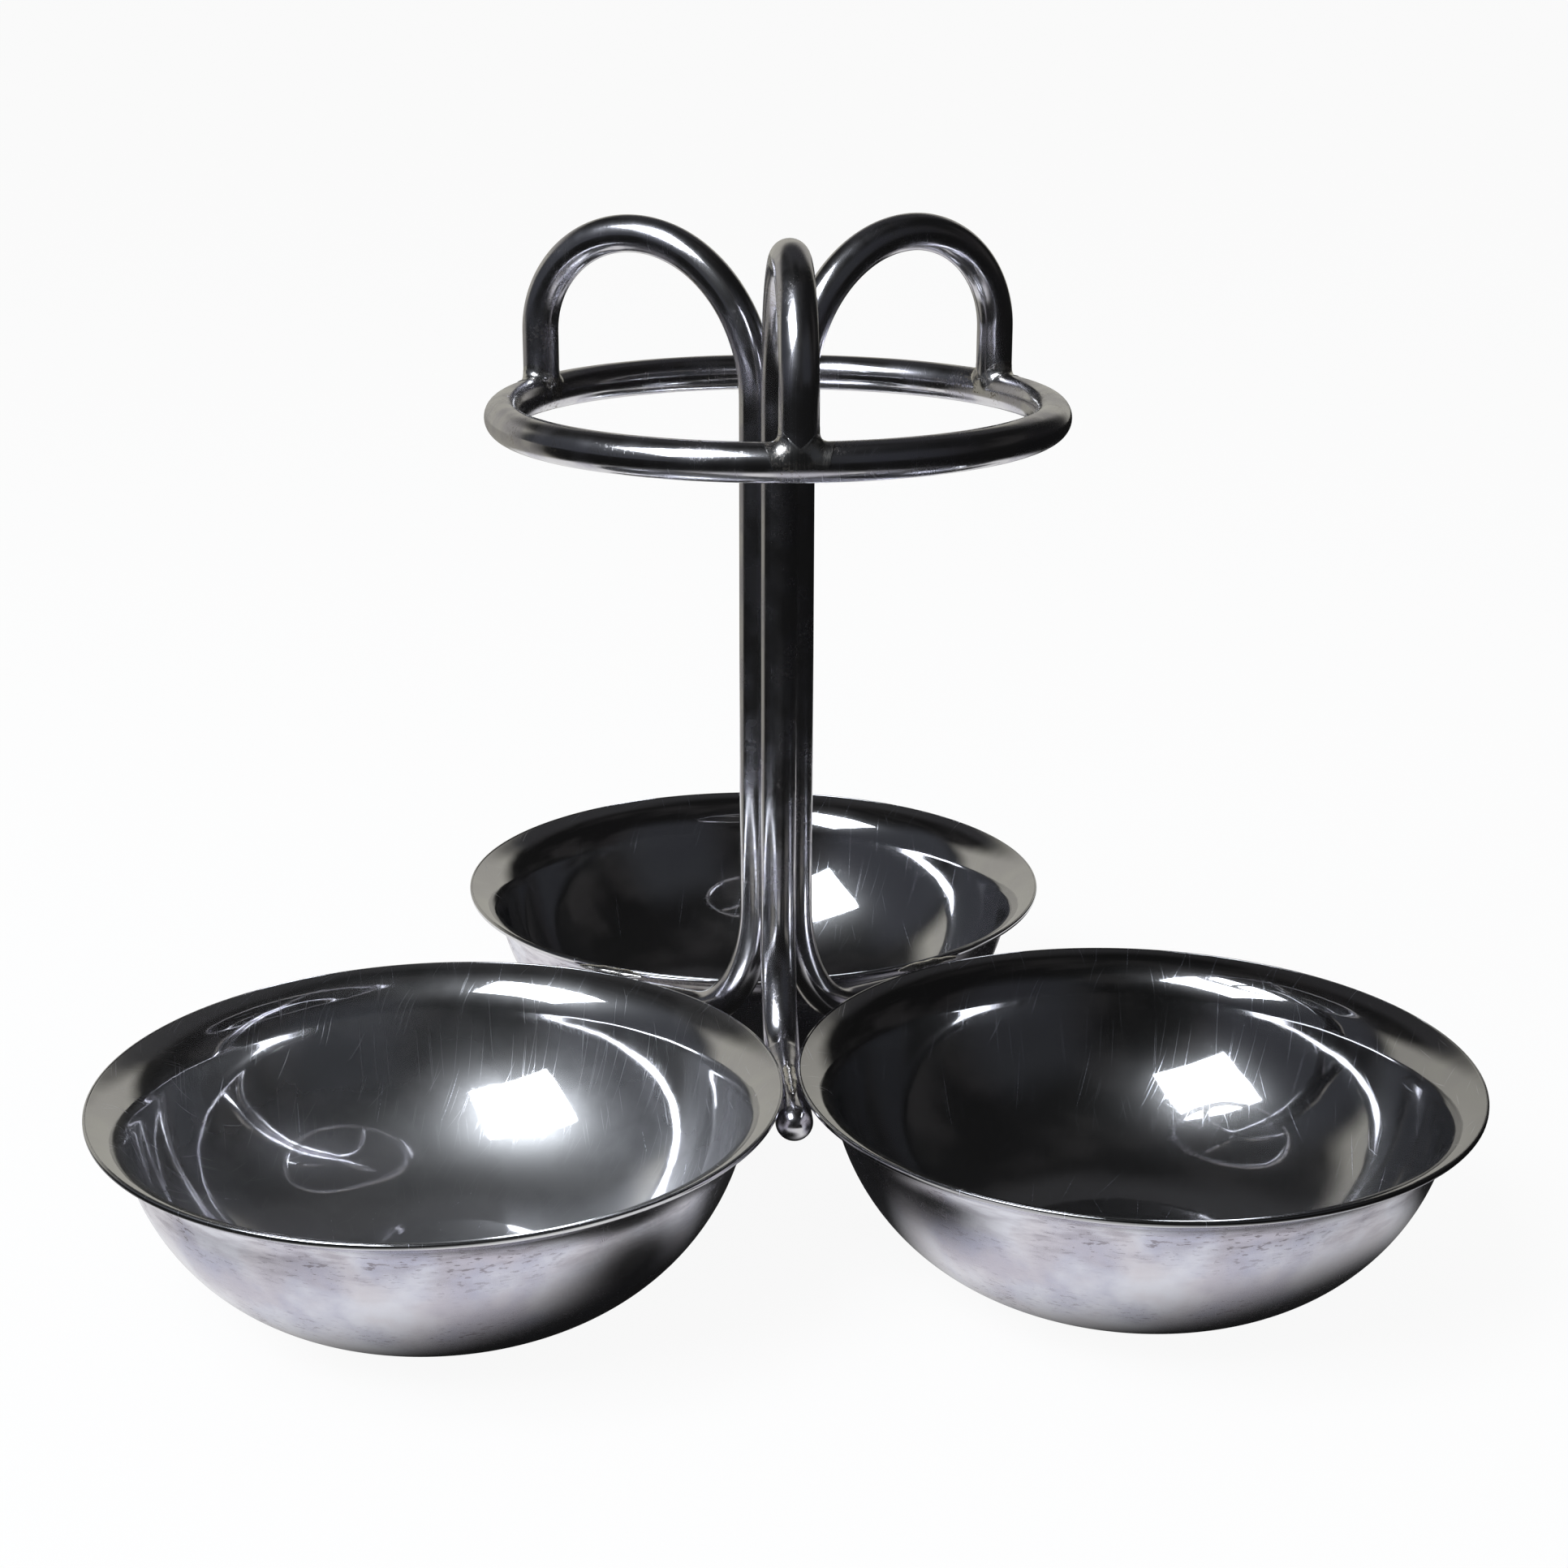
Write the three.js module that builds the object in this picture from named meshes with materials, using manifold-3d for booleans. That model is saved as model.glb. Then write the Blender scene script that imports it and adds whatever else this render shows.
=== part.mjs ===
// Three-bowl serving stand in silver plate, soldered from three bent rods, a ring and three spun bowls.
// Millimetres, +Z up. The stand rests on z = 0, and the origin is under the middle of its outer box.

import * as THREE from "three";
import { mergeVertices } from "three/addons/utils/BufferGeometryUtils.js";
import Module from "manifold-3d";

const wasm = await Module();
wasm.setup();

// Rod stock, used for the three bent rods and the ring
const rodDia = 6;

// Film of solder left between pieces that are joined
const solderFilm = 0.3;

// Bowls. Slopes are in degrees from level, and fullness is how near the wall's curve keeps to its corner.
const rimDia = 110;
const rimGap = 2.6;
const bowlHeight = 35;
const bowlFlatDia = 30;
const bowlSheet = 1;
const lipRadius = 9;
const rimSlope = 12;
const wallSlope = 77;
const wallFullness = 0.59;

// Carrying ring, measured to the middle of its rod
const ringDia = 88;
const ringAboveRims = 101.5;

// Finger loops: the rod's middle line above and inside the ring
const legStraight = 10.4;
const loopRise = 27.2;
const loopCrestInset = 17.6;
const loopFallHeight = 25.5;

// Foot of the column and the arm between two bowls
const footHeight = 21.5;
const footSpread = 12.5;
const armReach = 44;

// Solder that shows
const collarSize = 1.3;
const collarFoot = 1;
const beadLength = 13;
const beadProud = 0.5;

// Fineness of the facets
const rodSides = 12;
const rodStep = 3;
const ringSteps = 60;
const bowlSteps = 48;
const wallSteps = 7;
const lipSteps = 4;
const domeSteps = 4;

// Sizes that follow from those above
const rodR = rodDia / 2;
const rimR = rimDia / 2;
const flatR = bowlFlatDia / 2;
const ringR = ringDia / 2;
const ringZ = bowlHeight + ringAboveRims;
const columnR = (rodDia + solderFilm) / Math.sqrt(3);
const bowlSpread = (rimDia + rimGap) / Math.sqrt(3);
const rimTurn = THREE.MathUtils.degToRad(rimSlope);
const lipMiddleR = rimR + lipRadius * Math.sin(rimTurn);
const lipMiddleZ = bowlHeight - lipRadius * Math.cos(rimTurn);
const lipEdgeZ = lipMiddleZ + Math.sqrt((lipRadius - bowlSheet) ** 2 - (lipMiddleR - rimR) ** 2);
const armZ = lipEdgeZ - Math.sqrt((rodR + solderFilm) ** 2 - (rimGap / 2) ** 2);
const lipMeetR = bowlSpread / 2;
const quarter = Math.PI / 2;

// Silver plate: bright on the rods and ring, softer on the bowls, greyer on the solder
const silver = (color, roughness) => new THREE.MeshStandardMaterial({ color, roughness, metalness: 1 });

// A closed mesh as a solid that can be joined and cut, and back again
function solidOf(geometry) {
  const bare = geometry.clone();
  bare.deleteAttribute("normal");
  bare.deleteAttribute("uv");
  const merged = mergeVertices(bare);
  return new wasm.Manifold(new wasm.Mesh({
    numProp: 3,
    vertProperties: new Float32Array(merged.attributes.position.array),
    triVerts: new Uint32Array(merged.index.array),
  }));
}

function geometryOf(solid) {
  const mesh = solid.getMesh();
  const geometry = new THREE.BufferGeometry();
  geometry.setAttribute("position", new THREE.BufferAttribute(mesh.vertProperties, 3));
  geometry.setIndex(new THREE.BufferAttribute(mesh.triVerts, 1));
  geometry.computeVertexNormals();
  return geometry;
}

// The ring's rod at any thickness: the ring itself, and the larger tubes that clear or coat it
function ringTube(tubeR) {
  const tube = new THREE.TorusGeometry(ringR, tubeR, rodSides, ringSteps);
  tube.translate(0, 0, ringZ);
  return tube;
}

// An upright post round a leg's middle line, from the collar's lowest edge to well above it
function legPost(postR) {
  const height = 2 * (rodDia + collarSize);
  const post = new THREE.CylinderGeometry(postR, postR, height, rodSides);
  post.rotateX(quarter);
  post.translate(ringR, 0, ringZ + collarFoot + height / 2);
  return post;
}

// Middle line of a bent rod, drawn flat: x is the distance from the stand's axis, y is the height.
// It runs from the ring up the leg, over the loop, down the column and out along the arm.
class RodLine extends THREE.Curve {
  constructor() {
    super();
    const crestR = ringR - loopCrestInset;
    const crestZ = ringZ + loopRise;
    const archHeight = loopRise - legStraight;
    const fallReach = crestR - columnR;
    const fallEnd = crestZ - loopFallHeight;
    const footTop = armZ + footHeight;
    this.line = new THREE.Path();
    this.line.moveTo(ringR, ringZ);
    this.line.lineTo(ringR, ringZ + legStraight);
    this.line.absellipse(crestR, crestZ - archHeight, loopCrestInset, archHeight, 0, quarter);
    this.line.absellipse(crestR, fallEnd, fallReach, loopFallHeight, quarter, 2 * quarter);
    this.line.lineTo(columnR, footTop);
    this.line.absellipse(columnR + footSpread, footTop, footSpread, footHeight, 2 * quarter, 3 * quarter);
    this.line.lineTo(armReach - rodR, armZ);
  }

  getPoint(t, target = new THREE.Vector3()) {
    const point = this.line.getPoint(t);
    return target.set(point.x, 0, point.y);
  }
}

// Bent rod: round stock along that line, with a domed end and a saddle cut that sits on the ring
function rodGeometry() {
  const section = new THREE.Shape();
  for (let side = 0; side < rodSides; side += 1) {
    const turn = (side * 2 * Math.PI) / rodSides;
    const corner = [rodR * Math.cos(turn), rodR * Math.sin(turn)];
    if (side === 0) section.moveTo(...corner);
    else section.lineTo(...corner);
  }
  const extrudePath = new RodLine();
  const steps = Math.round(extrudePath.getLength() / rodStep);
  const bar = new THREE.ExtrudeGeometry(section, { extrudePath, steps });

  const domeLine = [new THREE.Vector2(0, -rodR)];
  for (let step = 0; step <= domeSteps; step += 1) {
    const turn = (step * quarter) / domeSteps;
    domeLine.push(new THREE.Vector2(rodR * Math.cos(turn), rodR * Math.sin(turn)));
  }
  domeLine[domeLine.length - 1].x = 0;
  const dome = new THREE.LatheGeometry(domeLine, rodSides);
  dome.rotateZ(-quarter);
  dome.translate(armReach - rodR, 0, armZ);

  const whole = solidOf(bar).add(solidOf(dome));
  return geometryOf(whole.subtract(solidOf(ringTube(rodR + solderFilm))));
}

// Spun bowl: flat bottom, curved wall, and a lip that rolls outwards to the rim in one arc.
// The outer side follows the inner one at the thickness of the sheet.
function bowlGeometry() {
  const wallTurn = THREE.MathUtils.degToRad(wallSlope);
  const foot = new THREE.Vector2(flatR, bowlSheet);
  const top = new THREE.Vector2(
    lipMiddleR - lipRadius * Math.sin(wallTurn),
    lipMiddleZ + lipRadius * Math.cos(wallTurn),
  );
  const corner = new THREE.Vector2(top.x - (top.y - bowlSheet) / Math.tan(wallTurn), bowlSheet);
  const wall = new THREE.CubicBezierCurve(
    foot,
    foot.clone().lerp(corner, wallFullness),
    top.clone().lerp(corner, wallFullness),
    top,
  );

  const side = (sheet) => {
    const points = [new THREE.Vector2(0, bowlSheet - sheet)];
    for (let step = 0; step <= wallSteps; step += 1) {
      const along = wall.getTangent(step / wallSteps);
      const outwards = new THREE.Vector2(along.y, -along.x);
      points.push(wall.getPoint(step / wallSteps).addScaledVector(outwards, sheet));
    }
    const bend = lipRadius - sheet;
    const rimEnd = quarter + Math.asin((lipMiddleR - rimR) / bend);
    const lip = new THREE.EllipseCurve(lipMiddleR, lipMiddleZ, bend, bend, quarter + wallTurn, rimEnd, true);
    return [...points, ...lip.getPoints(lipSteps).slice(1)];
  };

  const outline = [...side(bowlSheet), ...side(0).reverse()];
  const bowl = new THREE.LatheGeometry(outline, bowlSteps);
  bowl.rotateX(quarter);
  return bowl;
}

// Collar of solder in the corner between leg and ring, a film away from both
function collarGeometry() {
  const coat = solidOf(legPost(rodR + collarSize)).intersect(solidOf(ringTube(rodR + collarSize)));
  const clear = solidOf(legPost(rodR + solderFilm)).add(solidOf(ringTube(rodR + solderFilm)));
  return geometryOf(coat.subtract(clear));
}

// Bead of solder on top of an arm, in the gap between two lips, a film away from all three
function beadGeometry() {
  const low = armZ + rodR + solderFilm;
  const high = bowlHeight + beadProud;
  const bead = new THREE.SphereGeometry(1, rodSides, rodSides / 2);
  bead.rotateX(quarter);
  bead.scale(beadLength / 2, rimGap / 2 - solderFilm, (high - low) / 2);
  bead.translate(lipMeetR, 0, (low + high) / 2);
  return bead;
}

// The stand's axis lies to the front of the middle of its box, because one bowl is at the back
const stand = new THREE.Group();
stand.position.y = -bowlSpread / 4;

function place(name, geometry, material, turnDegrees, shiftX = 0) {
  const mesh = new THREE.Mesh(geometry, material);
  mesh.name = name;
  mesh.position.x = shiftX;
  const arm = new THREE.Group();
  arm.rotation.z = THREE.MathUtils.degToRad(turnDegrees);
  arm.add(mesh);
  stand.add(arm);
}

const rod = rodGeometry();
const collar = collarGeometry();
const bead = beadGeometry();
for (const [where, turn] of [["front", 270], ["right", 30], ["left", 150]]) {
  place(`rod_${where}`, rod, silver(0x8f8e8c, 0.12), turn);
  place(`solder_collar_${where}`, collar, silver(0x9a9894, 0.3), turn);
  place(`solder_bead_${where}`, bead, silver(0xb4b2ac, 0.25), turn);
}
for (const [where, turn] of [["back", 90], ["left", 210], ["right", 330]]) {
  place(`bowl_${where}`, bowlGeometry(), silver(0xb9b7bd, 0.2), turn, bowlSpread);
}
place("carrying_ring", ringTube(rodR), silver(0x97938c, 0.14), 0);

export default stand;
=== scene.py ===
import math

import bmesh
import bpy
from mathutils import Matrix, Vector, geometry, noise


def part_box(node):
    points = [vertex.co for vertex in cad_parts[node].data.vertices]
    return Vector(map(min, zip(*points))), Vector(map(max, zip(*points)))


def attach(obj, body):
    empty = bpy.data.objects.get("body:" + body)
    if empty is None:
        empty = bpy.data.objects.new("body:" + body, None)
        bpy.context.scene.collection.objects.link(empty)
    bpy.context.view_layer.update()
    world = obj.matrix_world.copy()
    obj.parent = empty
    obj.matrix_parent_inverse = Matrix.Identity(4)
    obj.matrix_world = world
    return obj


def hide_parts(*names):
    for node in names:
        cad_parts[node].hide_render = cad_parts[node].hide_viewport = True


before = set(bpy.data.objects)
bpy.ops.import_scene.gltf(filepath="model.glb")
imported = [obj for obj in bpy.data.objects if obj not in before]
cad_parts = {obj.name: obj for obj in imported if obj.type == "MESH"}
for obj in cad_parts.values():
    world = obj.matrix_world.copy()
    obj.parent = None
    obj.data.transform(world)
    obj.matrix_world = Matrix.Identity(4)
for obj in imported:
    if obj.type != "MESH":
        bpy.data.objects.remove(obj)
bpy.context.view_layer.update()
scene = bpy.context.scene
scene.view_settings.view_transform = "Standard"

MM = 0.001


# Camera. It stands in front of the stand, a little to its left, and looks down on it, as the photographer
# did. The distances were measured by fitting a camera to the rims, the ring and the loops.
CAMERA_DISTANCE = 427.5 * MM
CAMERA_HEIGHT = 207.1 * MM
CAMERA_ROUND = math.radians(4.01)
CAMERA_TURN = math.radians(-0.45)
CAMERA_TILT = math.radians(17.29)
FOCAL_PIXELS = 3291.8
MIDDLE_PIXEL_X = 932.6
PHOTO_PIXELS = 1932


def middle_y(node):
    low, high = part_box(node)
    return (low.y + high.y) / 2


axis_y = (middle_y("bowl_back") + 2 * middle_y("bowl_left")) / 3

camera = bpy.data.objects.new("camera", bpy.data.cameras.new("camera"))
scene.collection.objects.link(camera)
camera.data.sensor_width = 36
camera.data.lens = FOCAL_PIXELS / PHOTO_PIXELS * camera.data.sensor_width
camera.data.shift_x = (PHOTO_PIXELS / 2 - MIDDLE_PIXEL_X) / PHOTO_PIXELS
camera.data.clip_start = 10 * MM
camera.location = (
    -CAMERA_DISTANCE * math.sin(CAMERA_ROUND),
    -CAMERA_DISTANCE * math.cos(CAMERA_ROUND) + axis_y,
    CAMERA_HEIGHT,
)
camera.rotation_euler = (math.pi / 2 - CAMERA_TILT, 0, -(CAMERA_TURN + CAMERA_ROUND))
scene.camera = camera


# Floor and backdrop. A white table top and a white backdrop beyond it, as the camera sees them. The table
# keeps a faint shadow of the stand.
FLOOR_SIZE = 60.0
FLOOR_DROP = 0.2 * MM
FLOOR_WHITE = 0.9
FLOOR_GLOW_SHARE = 0.93
SOFT_LIGHT = 0.4


def put(tree, kind, inputs, **settings):
    """Adds a node with its settings. An input is linked to a socket, or set to a value."""
    node = tree.nodes.new(kind)
    for name, value in settings.items():
        setattr(node, name, value)
    for name, value in inputs.items():
        if isinstance(value, bpy.types.NodeSocket):
            tree.links.new(value, node.inputs[name])
        else:
            node.inputs[name].default_value = value
    return node


def sum_up(tree, operation, one, other=0.0, clamp=False):
    return put(tree, "ShaderNodeMath", {0: one, 1: other}, operation=operation, use_clamp=clamp).outputs[0]


def background_rays(tree):
    """1 for the rays that see the background as it is: from the camera, from a mirror and through glass."""
    path = tree.nodes.new("ShaderNodeLightPath")
    both = sum_up(tree, "MAXIMUM", path.outputs["Is Camera Ray"], path.outputs["Is Glossy Ray"])
    return sum_up(tree, "MAXIMUM", both, path.outputs["Is Transmission Ray"])


def new_look(name):
    look = bpy.data.materials.new(name)
    look.use_nodes = True
    look.node_tree.nodes.clear()
    return look, look.node_tree


def finish_look(tree, shader, kind="ShaderNodeOutputMaterial"):
    put(tree, kind, {"Surface": shader.outputs[0]})


floor_look, tree = new_look("white_table")
lit = put(tree, "ShaderNodeBsdfDiffuse", {"Color": (FLOOR_WHITE, FLOOR_WHITE, FLOOR_WHITE, 1)})
glow = put(tree, "ShaderNodeEmission", {"Color": (1, 1, 1, 1), "Strength": 1.0})
share = sum_up(tree, "MULTIPLY", background_rays(tree), FLOOR_GLOW_SHARE)
finish_look(tree, put(tree, "ShaderNodeMixShader", {0: share, 1: lit.outputs[0], 2: glow.outputs[0]}))


def shape_object(name, bm, *looks):
    """Makes an object at the origin of a bmesh, shaded smooth."""
    for face in bm.faces:
        face.smooth = True
    mesh = bpy.data.meshes.new(name)
    bm.to_mesh(mesh)
    bm.free()
    for look in looks:
        mesh.materials.append(look)
    made = bpy.data.objects.new(name, mesh)
    scene.collection.objects.link(made)
    return made


bm = bmesh.new()
bmesh.ops.create_grid(bm, x_segments=1, y_segments=1, size=FLOOR_SIZE / 2)
bmesh.ops.translate(bm, verts=bm.verts, vec=(0, 0, -FLOOR_DROP))
shape_object("floor", bm, floor_look)

scene.world = bpy.data.worlds.new("studio")
scene.world.use_nodes = True
tree = scene.world.node_tree
tree.nodes.clear()
soft = put(tree, "ShaderNodeBackground", {"Color": (1, 1, 1, 1), "Strength": SOFT_LIGHT})
white = put(tree, "ShaderNodeBackground", {"Color": (1, 1, 1, 1), "Strength": 1.0})
both = put(tree, "ShaderNodeMixShader", {0: background_rays(tree), 1: soft.outputs[0], 2: white.outputs[0]})
finish_look(tree, both, "ShaderNodeOutputWorld")


# Painted reflections. Glowing cards, which only the metal mirrors, as a photographer of polished metal sets
# dark cards. A dome stands for a dim room with a pale wall low behind the stand. A card on the table paints
# the table's shade into the metal: dark away from the stand, less so before that wall, and in round patches
# of painted shade of the bowls.
ROOM_RADIUS = 2.0
ROOM_SIDES = 96
ROOM_DARK = (0.009, 0.009, 0.009, 1)
ROOM_DIM = (0.026, 0.025, 0.025, 1)
ROOM_BLOTCHES = (0.42, 0.66)

# Lighter patches of the room, the front one last: azimuths, heights and soft edge in degrees, and colour
ROOM_PATCHES = (
    ((105, 178), (2, 56), 26, (0.035, 0.037, 0.042, 1)),
    ((-150, -52), (-6, 58), 24, (0.05, 0.053, 0.062, 1)),
    ((-34, 52), (30, 74), 20, (0.04, 0.04, 0.042, 1)),
    ((-66, 42), (-6, 37), 14, (0.44, 0.43, 0.385, 1)),
)
ROOM_LOW_EDGE = 5

# The lit stretch of table, and the round shades on it: X, Y and reach, under each bowl from its middle
LIT_MIDDLE = Vector((0, 90 * MM))
LIT_SCALE = (1.6, 1, 1)
LIT_REACH = (300 * MM, 225 * MM)
LIT_SHARE = 0.86
BOWL_SHADE = (14 * MM, -5 * MM, 40 * MM)
OTHER_SHADES = (
    (150 * MM, -20 * MM, 50 * MM),
    (85 * MM, 60 * MM, 40 * MM),
    (-3 * MM, -15 * MM, 43 * MM),
    (-12 * MM, -76 * MM, 19 * MM),
    (-35 * MM, 4 * MM, 30 * MM),
)
SHADE_EDGE = 14 * MM
TABLE_SHADE_DARK = (0.008, 0.008, 0.008, 1)
TABLE_SHADE_GREY = (0.33, 0.32, 0.285, 1)
GREY_FROM = (math.radians(-82), math.radians(-68))
GREY_TO = (math.radians(2), math.radians(-8))
TABLE_SHADE_DROP = 0.1 * MM


# A card is seen only in mirrors, so its colour is a painted reflection.
def card(name, bm, look):
    made = shape_object(name, bm, look)
    made.visible_camera = False
    made.visible_diffuse = False
    made.visible_shadow = False
    made.visible_transmission = False


def between(tree, value, low, high):
    """0 below low, 1 above high, and a soft step between them. A low above high turns it round."""
    if low > high:
        return sum_up(tree, "SUBTRACT", 1.0, between(tree, value, high, low))
    step = put(
        tree, "ShaderNodeMapRange", {"Value": value, "From Min": low, "From Max": high},
        interpolation_type="SMOOTHSTEP", clamp=True,
    )
    return step.outputs[0]


def mix_color(tree, share, one, other):
    return put(tree, "ShaderNodeMix", {0: share, 6: one, 7: other}, data_type="RGBA").outputs[2]


def cloud_noise(tree, place, scale, detail):
    return put(tree, "ShaderNodeTexNoise", {"Vector": place, "Scale": scale, "Detail": detail}).outputs[0]


def reckon(tree, operation, one, other=(0, 0, 0)):
    """Arithmetic on vectors. A length comes out as a number, and all else as a vector."""
    outputs = put(tree, "ShaderNodeVectorMath", {0: one, 1: other}, operation=operation).outputs
    return outputs["Value" if operation == "LENGTH" else "Vector"]


def object_place(tree):
    return tree.nodes.new("ShaderNodeTexCoord").outputs["Object"]


# The room's painted reflection: a glowing dome with lighter patches, seen only in the metal.
room_look, tree = new_look("dim_room")
way = reckon(tree, "NORMALIZE", object_place(tree))
split = put(tree, "ShaderNodeSeparateXYZ", {0: way}).outputs
azimuth = sum_up(tree, "ARCTAN2", split[0], split[1])
height = sum_up(tree, "ARCSINE", split[2])
blotches = cloud_noise(tree, way, 2.2, 3.0)
color = mix_color(tree, between(tree, blotches, *ROOM_BLOTCHES), ROOM_DARK, ROOM_DIM)
for across, up, edge, tone in ROOM_PATCHES:
    sides = (
        (azimuth, across[0], edge), (azimuth, across[1], -edge),
        (height, up[1], -edge), (height, up[0], ROOM_LOW_EDGE),
    )
    mask = 1.0
    for value, side, soft in sides:
        inside = between(tree, value, math.radians(side), math.radians(side + soft))
        mask = sum_up(tree, "MULTIPLY", mask, inside)
    color = mix_color(tree, mask, color, tone)
finish_look(tree, put(tree, "ShaderNodeEmission", {"Color": color}))

bm = bmesh.new()
bmesh.ops.create_uvsphere(bm, u_segments=ROOM_SIDES, v_segments=ROOM_SIDES // 2, radius=ROOM_RADIUS)
card("dim_room", bm, room_look)

# Painted shade on the table, seen only in the metal: dark beyond the lit stretch and under the bowls, grey
# before the pale wall.
table_shade_look, tree = new_look("painted_table_shade")
place = object_place(tree)
clear = LIT_SHARE
shades = list(OTHER_SHADES)
for where in ("back", "left", "right"):
    low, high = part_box(f"bowl_{where}")
    middle = (low + high) / 2
    shades.append((middle.x + BOWL_SHADE[0], middle.y + BOWL_SHADE[1], BOWL_SHADE[2]))
spots = [(LIT_MIDDLE, LIT_SCALE, LIT_REACH)]
spots += [((x, y), (1, 1, 1), (reach - SHADE_EDGE, reach + SHADE_EDGE)) for x, y, reach in shades]
for middle, scale, reach in spots:
    around = reckon(tree, "MULTIPLY", reckon(tree, "SUBTRACT", place, (*middle, 0)), scale)
    away = reckon(tree, "LENGTH", around)
    clear = sum_up(tree, "MULTIPLY", clear, between(tree, away, *reach))
split = put(tree, "ShaderNodeSeparateXYZ", {0: place}).outputs
azimuth = sum_up(tree, "ARCTAN2", split[0], split[1])
grey = sum_up(tree, "MULTIPLY", between(tree, azimuth, *GREY_FROM), between(tree, azimuth, *GREY_TO))
color = mix_color(tree, grey, TABLE_SHADE_DARK, TABLE_SHADE_GREY)
dark = put(tree, "ShaderNodeEmission", {"Color": color})
open_table = put(tree, "ShaderNodeBsdfTransparent", {})
finish_look(tree, put(tree, "ShaderNodeMixShader", {0: clear, 1: dark.outputs[0], 2: open_table.outputs[0]}))

bm = bmesh.new()
bmesh.ops.create_grid(bm, x_segments=1, y_segments=1, size=ROOM_RADIUS)
bmesh.ops.translate(bm, verts=bm.verts, vec=(0, 0, -TABLE_SHADE_DROP))
card("painted_table_shade", bm, table_shade_look)


# Window light. One large bright window stands high behind the camera, to its left.
WINDOW_AZIMUTH = -132
WINDOW_ELEVATION = 49
WINDOW_LEAN = -40
WINDOW_AWAY = 1.3
WINDOW_SIZE = (0.68, 0.72)
WINDOW_RADIANCE = 9.0
DAYLIGHT = (0.88, 0.93, 1.0)

turn, rise = math.radians(WINDOW_AZIMUTH), math.radians(WINDOW_ELEVATION)
way = Vector((math.sin(turn) * math.cos(rise), math.cos(turn) * math.cos(rise), math.sin(rise)))
window = bpy.data.objects.new("window", bpy.data.lights.new("window", "AREA"))
scene.collection.objects.link(window)
window.data.shape = "RECTANGLE"
window.data.size, window.data.size_y = WINDOW_SIZE
window.data.color = DAYLIGHT
window.data.energy = WINDOW_RADIANCE * math.pi * WINDOW_SIZE[0] * WINDOW_SIZE[1]
window.location = way * WINDOW_AWAY + Vector((0, axis_y, 0))
lean = Matrix.Rotation(math.radians(WINDOW_LEAN), 3, "Z")
window.rotation_euler = (way.to_track_quat("Z", "Y").to_matrix() @ lean).to_euler()
window.visible_camera = False


# Bent rods. Three equal lengths of 6 mm rod, silver plated, each bent cold into one line: a leg that stands
# on the ring, a finger loop, a length of the column, and an arm with a domed end between two bowls.
ROD_R = 3 * MM
FILM = 0.3 * MM
RING_R = 44 * MM
RING_Z = 136.5 * MM
LEG_STRAIGHT = 10.4 * MM
LOOP_RISE = 27.2 * MM
LOOP_INSET = 17.6 * MM
LOOP_FALL = 25.5 * MM
FOOT_HEIGHT = 21.5 * MM
FOOT_SPREAD = 12.5 * MM
ARM_REACH = 44 * MM
COLUMN_R = (2 * ROD_R + FILM) / math.sqrt(3)
ARM_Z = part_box("rod_front")[0].z + ROD_R
ROD_SIDES = 40
BEND_STEPS = 40
STRAIGHT_STEPS = 8
DOME_STEPS = 10
DOME_TIP = 1e-4
ARMS = (("front", 270), ("right", 30), ("left", 150))
JOINT_WEAR = 13 * MM
SCRATCH_WAYS = (44, 61, 78, 99)
SCRATCH_EDGE = (0.30, 0.12)
CLOUD_EDGE = (0.40, 0.62)
SPECK_EDGE = (0.56, 0.61)
PATCH_EDGE = (0.52, 0.60)
HAZE_IOR = 4.5
ROD_BRIGHT = (0.65, 0.64, 0.66, 1)
ROD_TARNISHED = (0.49, 0.475, 0.54, 1)
ROD_PITTED = (0.30, 0.26, 0.22, 1)


def straight(start, end):
    return [start.lerp(end, step / STRAIGHT_STEPS) for step in range(1, STRAIGHT_STEPS + 1)]


def bend(center, across, up, start, end):
    """Points of an elliptic bend, from one angle to another in degrees, without the first."""
    turns = [math.radians(start + (end - start) * step / BEND_STEPS) for step in range(1, BEND_STEPS + 1)]
    return [center + Vector((across * math.cos(turn), 0, up * math.sin(turn))) for turn in turns]


crest = Vector((RING_R - LOOP_INSET, 0, RING_Z + LOOP_RISE))
arch = LOOP_RISE - LEG_STRAIGHT
foot_top = Vector((COLUMN_R, 0, ARM_Z + FOOT_HEIGHT))
rod_line = [Vector((RING_R, 0, RING_Z))]
rod_line += straight(rod_line[0], rod_line[0] + Vector((0, 0, LEG_STRAIGHT)))
rod_line += bend(crest - Vector((0, 0, arch)), LOOP_INSET, arch, 0, 90)
rod_line += bend(crest - Vector((0, 0, LOOP_FALL)), crest.x - COLUMN_R, LOOP_FALL, 90, 180)
rod_line += straight(rod_line[-1], foot_top)
rod_line += bend(foot_top + Vector((FOOT_SPREAD, 0, 0)), FOOT_SPREAD, FOOT_HEIGHT, 180, 270)
rod_line += straight(rod_line[-1], Vector((ARM_REACH - ROD_R, 0, ARM_Z)))


def heading(place):
    before, after = rod_line[max(place - 1, 0)], rod_line[min(place + 1, len(rod_line) - 1)]
    return math.atan2(after.x - before.x, after.z - before.z)


def grow(bm, edges):
    """Extrudes a loop of edges and returns the new loop's corners and edges."""
    grown = bmesh.ops.extrude_edge_only(bm, edges=edges)["geom"]
    loop = [item for item in grown if isinstance(item, bmesh.types.BMVert)]
    sides = [item for item in grown if isinstance(item, bmesh.types.BMEdge)]
    return loop, [edge for edge in sides if edge.verts[0] in loop and edge.verts[1] in loop]


def mark_joints(bm, joints):
    """Writes on each corner how near it is to a soldered joint: 1 at the joint, 0 where its wear ends."""
    layer = bm.verts.layers.float.new("near_joint")
    for vert in bm.verts:
        vert[layer] = max(1 - min((vert.co - joint).length for joint in joints) / JOINT_WEAR, 0)


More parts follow.
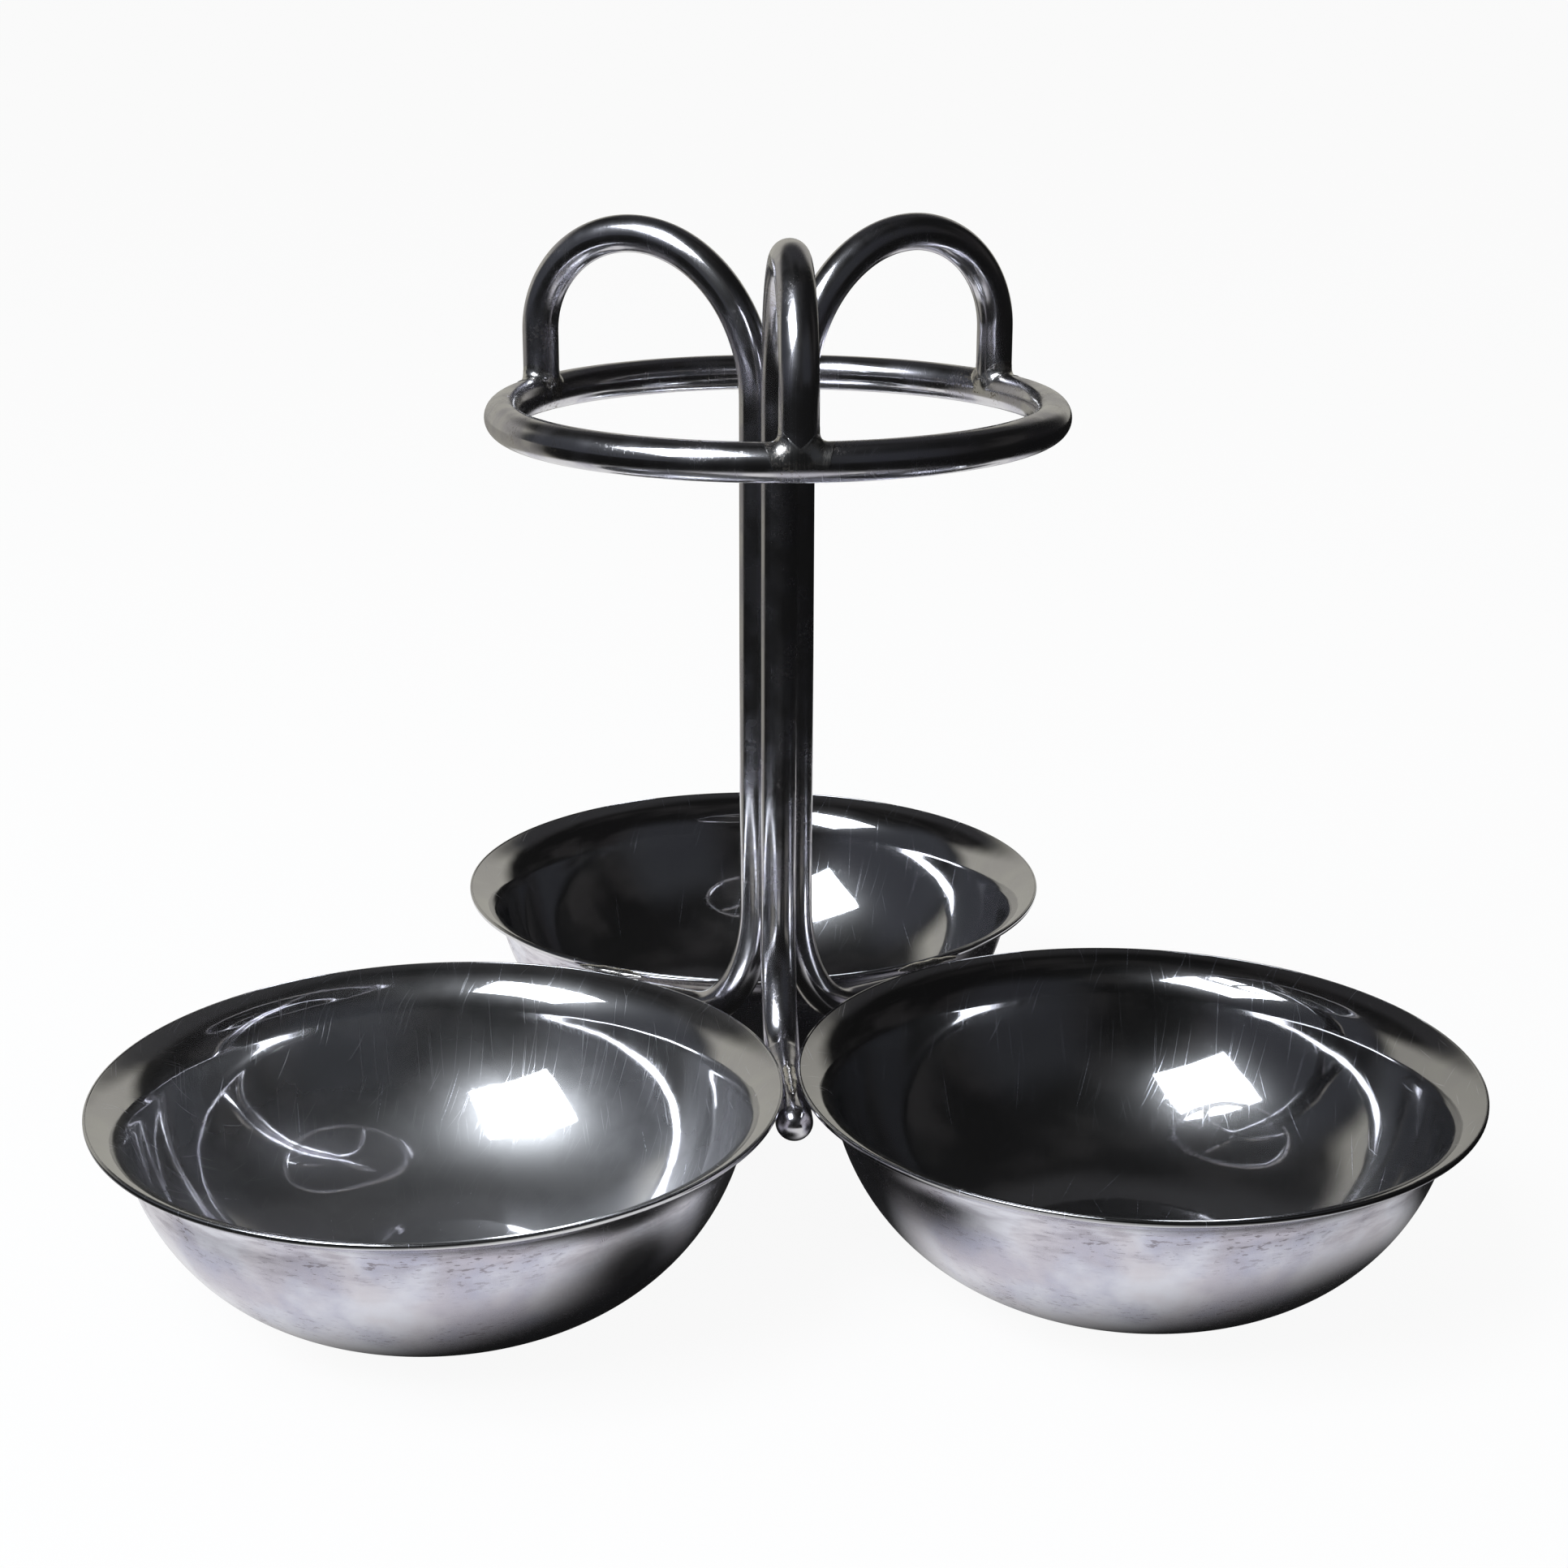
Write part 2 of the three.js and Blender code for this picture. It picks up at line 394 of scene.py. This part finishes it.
def rod_shape():
    bm = bmesh.new()
    foot = bmesh.ops.create_circle(bm, segments=ROD_SIDES, radius=ROD_R, cap_ends=True)["verts"]
    cap = bm.faces[:][0]
    edges = bm.edges[:]
    bmesh.ops.translate(bm, verts=foot, vec=rod_line[0])
    for place in range(1, len(rod_line)):
        here = rod_line[place].copy()
        loop, edges = grow(bm, edges)
        bmesh.ops.translate(bm, verts=loop, vec=here - rod_line[place - 1])
        turn = Matrix.Rotation(heading(place) - heading(place - 1), 3, "Y")
        bmesh.ops.rotate(bm, verts=loop, cent=here, matrix=turn)
    for vert in foot:
        vert.co.z += math.sqrt((ROD_R + FILM) ** 2 - (vert.co.x - RING_R) ** 2)
    for step in range(1, DOME_STEPS + 1):
        turn, last = (math.pi / 2 * at / DOME_STEPS for at in (step, step - 1))
        loop, edges = grow(bm, edges)
        ahead = Vector((ROD_R * (math.sin(turn) - math.sin(last)), 0, 0))
        here += ahead
        bmesh.ops.translate(bm, verts=loop, vec=ahead)
        shrink = max(math.cos(turn), DOME_TIP) / math.cos(last)
        bmesh.ops.scale(bm, verts=loop, vec=(1, shrink, shrink), space=Matrix.Translation(-here))
    bmesh.ops.pointmerge(bm, verts=loop, merge_co=here)
    bmesh.ops.recalc_face_normals(bm, faces=bm.faces)
    for edge in cap.edges:
        edge.smooth = False
    mark_joints(bm, [Vector((RING_R, 0, RING_Z + ROD_R))])
    return bm


def turned(bm, degrees, shift=0.0):
    """Moves a shape out along X, turns it round the stand's axis and puts it in the stand's place."""
    bmesh.ops.translate(bm, verts=bm.verts, vec=(shift, 0, 0))
    bmesh.ops.rotate(bm, verts=bm.verts, matrix=Matrix.Rotation(math.radians(degrees), 3, "Z"))
    bmesh.ops.translate(bm, verts=bm.verts, vec=(0, axis_y, 0))
    return bm


def piece(name, bm, slot, node, *looks):
    made = shape_object(name, bm, *looks)
    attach(made, "root")
    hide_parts(node)


def new_group(name, values, outputs):
    """Starts a shader group that reads a place and some values. Returns its tree, its inputs and outputs."""
    tree = bpy.data.node_groups.new(name, "ShaderNodeTree")
    tree.interface.new_socket(name="Place", in_out="INPUT", socket_type="NodeSocketVector")
    for label, value in values.items():
        socket = tree.interface.new_socket(name=label, in_out="INPUT", socket_type="NodeSocketFloat")
        socket.default_value = value
    for label in outputs:
        tree.interface.new_socket(name=label, in_out="OUTPUT", socket_type="NodeSocketFloat")
    return tree, tree.nodes.new("NodeGroupInput").outputs, tree.nodes.new("NodeGroupOutput").inputs


def use_group(tree, group, place, **values):
    return put(tree, "ShaderNodeGroup", {"Place": place, **values}, node_tree=group).outputs


def scaled(tree, place, factor):
    return put(tree, "ShaderNodeVectorMath", {0: place, "Scale": factor}, operation="SCALE").outputs[0]


def millimetres(tree, middle=(0, 0)):
    """The place on a piece in millimetres, from an upright axis through that middle."""
    inputs = {
        "Vector": object_place(tree),
        "Location": (-middle[0] / MM, -middle[1] / MM, 0),
        "Scale": (1 / MM, 1 / MM, 1 / MM),
    }
    return put(tree, "ShaderNodeMapping", inputs).outputs[0]


# Short straight scratches in four directions near one another, so that few of them cross. Each cell of a
# drawn-out cell pattern may hold one of them.
scratch_group, given, out = new_group("scratches", {"Length": 9.0, "Apart": 0.3, "Share": 0.1}, ["Lines"])
lines = 0.0
for degrees in SCRATCH_WAYS:
    cell_size = put(scratch_group, "ShaderNodeCombineXYZ", {0: given["Length"], 1: given["Apart"], 2: 1.0})
    drawn = put(scratch_group, "ShaderNodeMapping", {
        "Vector": given["Place"],
        "Rotation": (0, 0, math.radians(degrees)),
        "Scale": cell_size.outputs[0],
    }, vector_type="TEXTURE").outputs[0]
    cells = put(
        scratch_group, "ShaderNodeTexVoronoi", {"Vector": drawn, "Scale": 1.0}, voronoi_dimensions="2D",
    )
    chance = put(scratch_group, "ShaderNodeSeparateColor", {0: cells.outputs["Color"]}).outputs[0]
    chosen = sum_up(scratch_group, "LESS_THAN", chance, given["Share"])
    line = between(scratch_group, cells.outputs["Distance"], *SCRATCH_EDGE)
    lines = sum_up(scratch_group, "MAXIMUM", lines, sum_up(scratch_group, "MULTIPLY", line, chosen))
scratch_group.links.new(lines, out["Lines"])

# Tarnish: soft clouds, and irregular specks in patches where the plate has pitted.
tarnish_group, given, out = new_group("tarnish", {"Size": 10.0, "Speck": 0.6}, ["Clouds", "Specks"])
cloud_place = scaled(tarnish_group, given["Place"], sum_up(tarnish_group, "DIVIDE", 1.0, given["Size"]))
clouds = cloud_noise(tarnish_group, cloud_place, 1.0, 5.0)
tarnish_group.links.new(between(tarnish_group, clouds, *CLOUD_EDGE), out["Clouds"])
speck_place = scaled(tarnish_group, given["Place"], sum_up(tarnish_group, "DIVIDE", 1.0, given["Speck"]))
specks = between(tarnish_group, cloud_noise(tarnish_group, speck_place, 1.0, 4.0), *SPECK_EDGE)
patches = between(tarnish_group, cloud_noise(tarnish_group, speck_place, 0.05, 3.0), *PATCH_EDGE)
tarnish_group.links.new(sum_up(tarnish_group, "MULTIPLY", specks, patches), out["Specks"])


def plate_metal(tree, color, roughness, height, strength, distance, haze, spread):
    """Silver plate with that colour and roughness over the surface, and a bump from that height.
    Countless hair-fine scratches spread a part of the light wider, which the coat stands for."""
    bump = put(tree, "ShaderNodeBump", {"Height": height, "Strength": strength, "Distance": distance})
    metal = put(tree, "ShaderNodeBsdfPrincipled", {
        "Base Color": color, "Roughness": roughness, "Metallic": 1.0, "Normal": bump.outputs[0],
        "Coat Weight": haze, "Coat Roughness": spread, "Coat IOR": HAZE_IOR,
    })
    finish_look(tree, metal)


def add_shares(tree, base, shares):
    """A base value plus each mask times its own share."""
    total = base
    for mask, share in shares:
        total = sum_up(tree, "ADD", total, sum_up(tree, "MULTIPLY", mask, share))
    return total


rod_look, tree = new_look("rod_plate")
place = millimetres(tree)
worn = put(tree, "ShaderNodeAttribute", {}, attribute_name="near_joint").outputs["Fac"]
tarnish = use_group(tree, tarnish_group, place, Size=7.0, Speck=0.5)
lines = use_group(tree, scratch_group, place, Length=5.0, Apart=0.12, Share=0.04)["Lines"]
by_joint = between(tree, worn, 0.15, 0.7)
pitted = sum_up(tree, "MULTIPLY", tarnish["Specks"], add_shares(tree, 0.4, ((by_joint, 0.6),)))
color = mix_color(tree, tarnish["Clouds"], ROD_BRIGHT, ROD_TARNISHED)
color = mix_color(tree, pitted, color, ROD_PITTED)
roughness = add_shares(tree, 0.12, ((tarnish["Clouds"], 0.09), (lines, 0.08), (worn, 0.05), (pitted, 0.2)))
waves = cloud_noise(tree, place, 0.12, 1.0)
grain = cloud_noise(tree, place, 2.5, 2.0)
height = add_shares(tree, waves, ((pitted, -0.12), (grain, 0.045)))
haze = add_shares(tree, 0.14, ((tarnish["Clouds"], 0.22),))
plate_metal(tree, color, roughness, height, 0.4, 0.2 * MM, haze, 0.34)

for where, degrees in ARMS:
    piece(f"bent_rod_{where}", turned(rod_shape(), degrees), "rod_plate", f"rod_{where}", rod_look)


# Carrying ring. The same rod bent to a ring, closed with hard solder, and soldered under the three legs.
RING_STEPS = 180

bm = bmesh.new()
bmesh.ops.create_circle(
    bm, segments=ROD_SIDES, radius=ROD_R,
    matrix=Matrix.Translation((RING_R, 0, RING_Z)) @ Matrix.Rotation(math.pi / 2, 4, "X"),
)
bmesh.ops.spin(
    bm, geom=bm.verts[:] + bm.edges[:], cent=(0, 0, 0), axis=(0, 0, 1), angle=2 * math.pi,
    steps=RING_STEPS, use_merge=True,
)
bmesh.ops.recalc_face_normals(bm, faces=bm.faces)
leg = Vector((RING_R, 0, RING_Z + ROD_R))
mark_joints(bm, [Matrix.Rotation(math.radians(degrees), 3, "Z") @ leg for _, degrees in ARMS])
piece("ring_rod", turned(bm, 0), "rod_plate", "carrying_ring", rod_look)


# Solder collars. Soft solder drawn into the corner where each leg stands on the ring, filed smooth and plated
# over, so that the leg seems to grow out of the ring.
COLLAR_SIZE = 2.2 * MM
COLLAR_MELT = 1.5 * MM
COLLAR_DEPTH = 0.5 * MM
COLLAR_SKIN = 0.03 * MM
COLLAR_LUMPS = 0.03 * MM
COLLAR_LUMPS_PER_METRE = 700
COLLAR_FADE = 2 * MM
COLLAR_CREASE = 0.9
COLLAR_STEPS = 64
FILLET_STEPS = 12
MELT_ROUNDS = 8
SOLDER_BRIGHT = (0.66, 0.65, 0.63, 1)
SOLDER_TARNISHED = (0.58, 0.55, 0.50, 1)
SOLDER_PITTED = (0.28, 0.25, 0.22, 1)


def melted(point):
    """How far a point lies outside leg and ring melted into one, and the way out. The leg is upright."""
    leg, ring = Vector((point.x, point.y, 0)), Vector((point.x, 0, point.z))
    melt = COLLAR_MELT * min(max(point.z / COLLAR_FADE, 0.02), 1)
    share = min(max(0.5 + (ring.length - leg.length) / (2 * melt), 0), 1)
    way = (leg.normalized() * share + ring.normalized() * (1 - share)).normalized()
    return leg.length * share + ring.length * (1 - share) - ROD_R - melt * share * (1 - share), way


def collar_shape():
    bm = bmesh.new()
    outline = []
    for step in range(FILLET_STEPS + 1):
        turn = math.pi / 2 * step / FILLET_STEPS
        outline.append((ROD_R + COLLAR_SIZE * (1 - math.cos(turn)), COLLAR_SIZE * (1 - math.sin(turn))))
    inner = ROD_R - COLLAR_DEPTH
    outline += [(outline[-1][0], -COLLAR_DEPTH), (inner, -COLLAR_DEPTH), (inner, COLLAR_SIZE)]
    verts = [bm.verts.new((across, 0, up)) for across, up in outline]
    for one, other in zip(verts, verts[1:] + verts[:1]):
        bm.edges.new((one, other))
    bmesh.ops.spin(
        bm, geom=bm.verts[:] + bm.edges[:], cent=(0, 0, 0), axis=(0, 0, 1), angle=2 * math.pi,
        steps=COLLAR_STEPS, use_merge=True,
    )
    for vert in bm.verts:
        vert.co.x = max(min(vert.co.x, ROD_R), -ROD_R)
        vert.co.z += math.sqrt(max(ROD_R ** 2 - vert.co.x ** 2, 0))
        if melted(vert.co)[0] > -COLLAR_DEPTH / 2:
            lump = COLLAR_LUMPS * max(noise.noise(vert.co * COLLAR_LUMPS_PER_METRE), 0)
            for _ in range(MELT_ROUNDS):
                outside, way = melted(vert.co)
                vert.co -= way * (outside - COLLAR_SKIN - lump)
    bmesh.ops.recalc_face_normals(bm, faces=bm.faces)
    for edge in bm.edges:
        edge.smooth = edge.calc_face_angle(0) < COLLAR_CREASE
    bmesh.ops.translate(bm, verts=bm.verts, vec=(0, 0, RING_Z))
    return bm


solder_look, tree = new_look("solder")
place = millimetres(tree)
tarnish = use_group(tree, tarnish_group, place, Size=2.0, Speck=0.4)
lines = use_group(tree, scratch_group, place, Length=3.0, Apart=0.2, Share=0.4)["Lines"]
color = mix_color(tree, tarnish["Clouds"], SOLDER_BRIGHT, SOLDER_TARNISHED)
color = mix_color(tree, tarnish["Specks"], color, SOLDER_PITTED)
roughness = add_shares(tree, 0.10, ((tarnish["Clouds"], 0.08), (lines, 0.12), (tarnish["Specks"], 0.25)))
height = add_shares(tree, cloud_noise(tree, place, 0.7, 2.0), ((tarnish["Specks"], -0.1),))
plate_metal(tree, color, roughness, height, 0.5, 0.12 * MM, 0.3, 0.36)

for where, degrees in ARMS:
    collar = turned(collar_shape(), degrees, RING_R)
    piece(f"filed_collar_{where}", collar, "solder", f"solder_collar_{where}", solder_look)


# Bowls. Spun from 1 mm sheet over a former and silver plated: flat bottom, round wall, and a lip rolled
# outwards to the rim. Polished and much rubbed inside, cloudy with tarnish and spinning marks outside.
RIM_R = 55 * MM
RIM_GAP = 2.6 * MM
BOWL_SPREAD = (2 * RIM_R + RIM_GAP) / math.sqrt(3)
BOWL_HEIGHT = 35 * MM
FLAT_R = 15 * MM
SHEET = 1 * MM
LIP_CURVE = 9 * MM
RIM_SLOPE = math.radians(12)
WALL_SLOPE = math.radians(77)
WALL_FULLNESS = 0.59
EDGE_ROUND = 0.35 * MM
WALL_STEPS = 64
LIP_STEPS = 32
BOWL_STEPS = 192
TOUCHING = 0.001 * MM
UNDERSIDE = -0.2
BOTTOM_EDGE = (48, 36)
RING_EDGE = (0.42, 0.68)
SCRATCH_COLOR = (0.74, 0.75, 0.84, 1)
OUTSIDE_BRIGHT = (0.76, 0.765, 0.85, 1)
OUTSIDE_VIOLET = (0.47, 0.47, 0.61, 1)
OUTSIDE_PINKISH = (0.62, 0.55, 0.58, 1)
STREAK_COLOR = (0.34, 0.31, 0.37, 1)
SPECK_COLOR = (0.20, 0.17, 0.21, 1)

# Name, turn in degrees, and for the inside: its brightness, how rubbed it is, how wide that spreads light
BOWLS = (
    ("back", 90, 0.67, 0.3, 0.27),
    ("left", 210, 0.67, 1.0, 0.37),
    ("right", 330, 0.50, 0.43, 0.27),
)

lip_center = Vector((RIM_R + LIP_CURVE * math.sin(RIM_SLOPE), BOWL_HEIGHT - LIP_CURVE * math.cos(RIM_SLOPE)))


def across_lip(slope, sheet):
    """A point of the lip where it slopes that much, on its inner side or a sheet's thickness outside it."""
    return lip_center + (LIP_CURVE - sheet) * Vector((-math.sin(slope), math.cos(slope)))


def bowl_side(sheet):
    """Points of the bowl's inner side (sheet 0) or outer side, from its middle to its rim."""
    foot, top = Vector((FLAT_R, SHEET)), across_lip(WALL_SLOPE, 0)
    corner = Vector((top.x - (top.y - SHEET) / math.tan(WALL_SLOPE), SHEET))
    handles = foot.lerp(corner, WALL_FULLNESS), top.lerp(corner, WALL_FULLNESS)
    wall = geometry.interpolate_bezier(foot, *handles, top, WALL_STEPS + 1)
    points = [Vector((0, SHEET - sheet)), Vector((FLAT_R * 0.5, SHEET - sheet))]
    for place, point in enumerate(wall):
        along = wall[min(place + 1, WALL_STEPS)] - wall[max(place - 1, 0)]
        points.append(point + Vector((along.y, -along.x)).normalized() * sheet)
    rim_slope = math.asin((lip_center.x - RIM_R) / (LIP_CURVE - sheet))
    for step in range(1, LIP_STEPS + 1):
        points.append(across_lip(WALL_SLOPE + (rim_slope - WALL_SLOPE) * step / LIP_STEPS, sheet))
    return points


def bowl_shape():
    bm = bmesh.new()
    outline = bowl_side(SHEET) + bowl_side(0)[::-1]
    verts = [bm.verts.new((point.x, 0, point.y)) for point in outline]
    for one, other in zip(verts, verts[1:]):
        bm.edges.new((one, other))
    bmesh.ops.spin(
        bm, geom=bm.verts[:] + bm.edges[:], cent=(0, 0, 0), axis=(0, 0, 1), angle=2 * math.pi,
        steps=BOWL_STEPS, use_merge=True,
    )
    bmesh.ops.remove_doubles(bm, verts=bm.verts, dist=TOUCHING)
    at_rim = {vert for vert in bm.verts if vert.co.xy.length > RIM_R - 10 * TOUCHING}
    rim = [edge for edge in bm.edges if at_rim.issuperset(edge.verts)]
    rim = [edge for edge in rim if abs(edge.verts[0].co.z - edge.verts[1].co.z) < TOUCHING]
    bmesh.ops.bevel(
        bm, geom=rim, offset=EDGE_ROUND, offset_type="OFFSET", affect="EDGES", segments=4, profile=0.5,
        material=-1,
    )
    bmesh.ops.recalc_face_normals(bm, faces=bm.faces)
    bm.normal_update()
    for face in bm.faces:
        face.material_index = 0 if face.normal.z > UNDERSIDE else 1
    return bm


def from_axis(tree, place):
    """The level part of a place, which points away from the bowl's axis."""
    return reckon(tree, "MULTIPLY", place, (1, 1, 0))


def height_of(tree, place):
    return put(tree, "ShaderNodeSeparateXYZ", {0: place}).outputs[2]


# Faint rings that the spinning tool left round the bowl. With more breaks they become streaks and dashes.
spin_group, given, out = new_group("spin_marks", {"Spacing": 0.5, "Breaks": 1.0}, ["Rings"])
flat = from_axis(spin_group, given["Place"])
along = sum_up(spin_group, "ADD", reckon(spin_group, "LENGTH", flat), height_of(spin_group, given["Place"]))
along = sum_up(spin_group, "DIVIDE", along, given["Spacing"])
step = put(spin_group, "ShaderNodeCombineXYZ", {2: along}).outputs[0]
breaks = scaled(spin_group, reckon(spin_group, "NORMALIZE", flat), given["Breaks"])
rings = cloud_noise(spin_group, reckon(spin_group, "ADD", breaks, step), 1.0, 3.0)
spin_group.links.new(between(spin_group, rings, *RING_EDGE), out["Rings"])


def bowl_inside(where, middle, tone, rubbed, spread):
    """The polished and rubbed inside of one bowl, with its patterns round the bowl's middle."""
    look, tree = new_look(f"bowl_inside_{where}")
    place = millimetres(tree, middle)
    tarnish = use_group(tree, tarnish_group, place, Size=14.0, Speck=0.5)
    crowded = 0.012 + 0.028 * rubbed
    fine = use_group(tree, scratch_group, place, Length=9.0, Apart=0.2, Share=crowded)["Lines"]
    long = use_group(tree, scratch_group, place, Length=18.0, Apart=0.3, Share=0.008)["Lines"]
    rings = use_group(tree, spin_group, place, Spacing=0.7, Breaks=1.0)["Rings"]
    marks = sum_up(tree, "MAXIMUM", sum_up(tree, "MULTIPLY", fine, 0.6), long)
    bottom = between(tree, reckon(tree, "LENGTH", from_axis(tree, place)), *BOTTOM_EDGE)
    bright, cloudy = (tone, tone, tone * 1.01, 1), (tone * 0.91, tone * 0.90, tone * 0.94, 1)
    color = mix_color(tree, tarnish["Clouds"], bright, cloudy)
    color = mix_color(tree, marks, color, SCRATCH_COLOR)
    shares = (
        (tarnish["Clouds"], 0.015), (tarnish["Specks"], 0.05), (fine, 0.14), (long, 0.22), (rings, 0.01),
    )
    height = add_shares(tree, cloud_noise(tree, place, 0.15, 1.0), ((long, -0.01),))
    haze = add_shares(tree, 0.2, ((bottom, 0.7), (tarnish["Clouds"], 0.2), (fine, 0.3)))
    haze = sum_up(tree, "MULTIPLY", haze, rubbed, clamp=True)
    plate_metal(tree, color, add_shares(tree, 0.04, shares), height, 0.35, 0.1 * MM, haze, spread)
    return look


def bowl_outside(where, middle):
    """The tarnished outside of one bowl: violet and pinkish clouds, streaks by the lip and dark specks."""
    look, tree = new_look(f"bowl_outside_{where}")
    place = millimetres(tree, middle)
    tarnish = use_group(tree, tarnish_group, place, Size=16.0, Speck=0.45)
    pinkish = use_group(tree, tarnish_group, scaled(tree, place, -1.0), Size=11.0)["Clouds"]
    fine = use_group(tree, scratch_group, place, Length=4.0, Apart=0.25, Share=0.2)["Lines"]
    rings = use_group(tree, spin_group, place, Spacing=0.5, Breaks=1.0)["Rings"]
    streaks = use_group(tree, spin_group, place, Spacing=1.8, Breaks=8.0)["Rings"]
    dashes = between(tree, use_group(tree, spin_group, place, Spacing=0.6, Breaks=30.0)["Rings"], 0.65, 0.95)
    up = height_of(tree, place)
    by_lip = between(tree, up, 20.0, 30.0)
    by_edges = sum_up(tree, "MAXIMUM", by_lip, between(tree, up, 19.0, 13.0))
    streaks = sum_up(tree, "MULTIPLY", streaks, by_lip)
    streaks = sum_up(tree, "MULTIPLY", streaks, add_shares(tree, 0.5, ((pinkish, 0.5),)))
    patches = sum_up(tree, "MULTIPLY", tarnish["Clouds"], add_shares(tree, 0.1, ((by_edges, 0.9),)))
    specks = sum_up(tree, "MULTIPLY", dashes, patches)
    color = mix_color(tree, tarnish["Clouds"], OUTSIDE_BRIGHT, OUTSIDE_VIOLET)
    color = mix_color(tree, sum_up(tree, "MULTIPLY", pinkish, 0.45), color, OUTSIDE_PINKISH)
    color = mix_color(tree, sum_up(tree, "MULTIPLY", streaks, 0.8), color, STREAK_COLOR)
    color = mix_color(tree, specks, color, SPECK_COLOR)
    shares = ((tarnish["Clouds"], 0.06), (fine, 0.08), (rings, 0.05), (streaks, 0.12), (specks, 0.2))
    height = add_shares(tree, cloud_noise(tree, place, 0.12, 2.0), ((rings, 0.01), (specks, -0.05)))
    plate_metal(tree, color, add_shares(tree, 0.09, shares), height, 0.25, 0.1 * MM, 0.36, 0.4)
    return look


for where, degrees, tone, rubbed, spread in BOWLS:
    turn = math.radians(degrees)
    middle = (BOWL_SPREAD * math.cos(turn), BOWL_SPREAD * math.sin(turn) + axis_y)
    bowl = turned(bowl_shape(), degrees, BOWL_SPREAD)
    looks = bowl_inside(where, middle, tone, rubbed, spread), bowl_outside(where, middle)
    piece(f"spun_bowl_{where}", bowl, "bowl_plate", f"bowl_{where}", *looks)


# Solder beads. A short bead of bright solder on top of each arm, run into the gap where two lips meet.
BEAD_LENGTH = 13 * MM
BEAD_PROUD = 0.5 * MM
BEAD_SPREAD = BOWL_SPREAD / 2
BEAD_SIDES = 40
BEAD_STEPS = 28
BEAD_SWELL = 0.4
BEAD_SWELLS_PER_METRE = 450
BEAD_SWELL_SEED = 3.3
BEAD_LUMP = 0.15
BEAD_LUMPS_PER_METRE = 1400


def bead_shape():
    bm = bmesh.new()
    bmesh.ops.create_uvsphere(bm, u_segments=BEAD_SIDES, v_segments=BEAD_STEPS, radius=1)
    bmesh.ops.rotate(bm, verts=bm.verts, matrix=Matrix.Rotation(math.pi / 2, 3, "Y"))
    low, high = ARM_Z + ROD_R + FILM, BOWL_HEIGHT + BEAD_PROUD
    size = (BEAD_LENGTH / 2, RIM_GAP / 2 - FILM, (high - low) / 2)
    bmesh.ops.scale(bm, verts=bm.verts, vec=size)
    for vert in bm.verts:
        swell = BEAD_SWELL * noise.noise(Vector((vert.co.x * BEAD_SWELLS_PER_METRE, BEAD_SWELL_SEED, 0)))
        lumps = 1 + swell + BEAD_LUMP * noise.noise(vert.co * BEAD_LUMPS_PER_METRE)
        vert.co.y *= lumps
        vert.co.z *= lumps
    bmesh.ops.translate(bm, verts=bm.verts, vec=(0, 0, (low + high) / 2))
    bmesh.ops.recalc_face_normals(bm, faces=bm.faces)
    return bm


for where, degrees in ARMS:
    bead = turned(bead_shape(), degrees, BEAD_SPREAD)
    piece(f"run_bead_{where}", bead, "solder", f"solder_bead_{where}", solder_look)
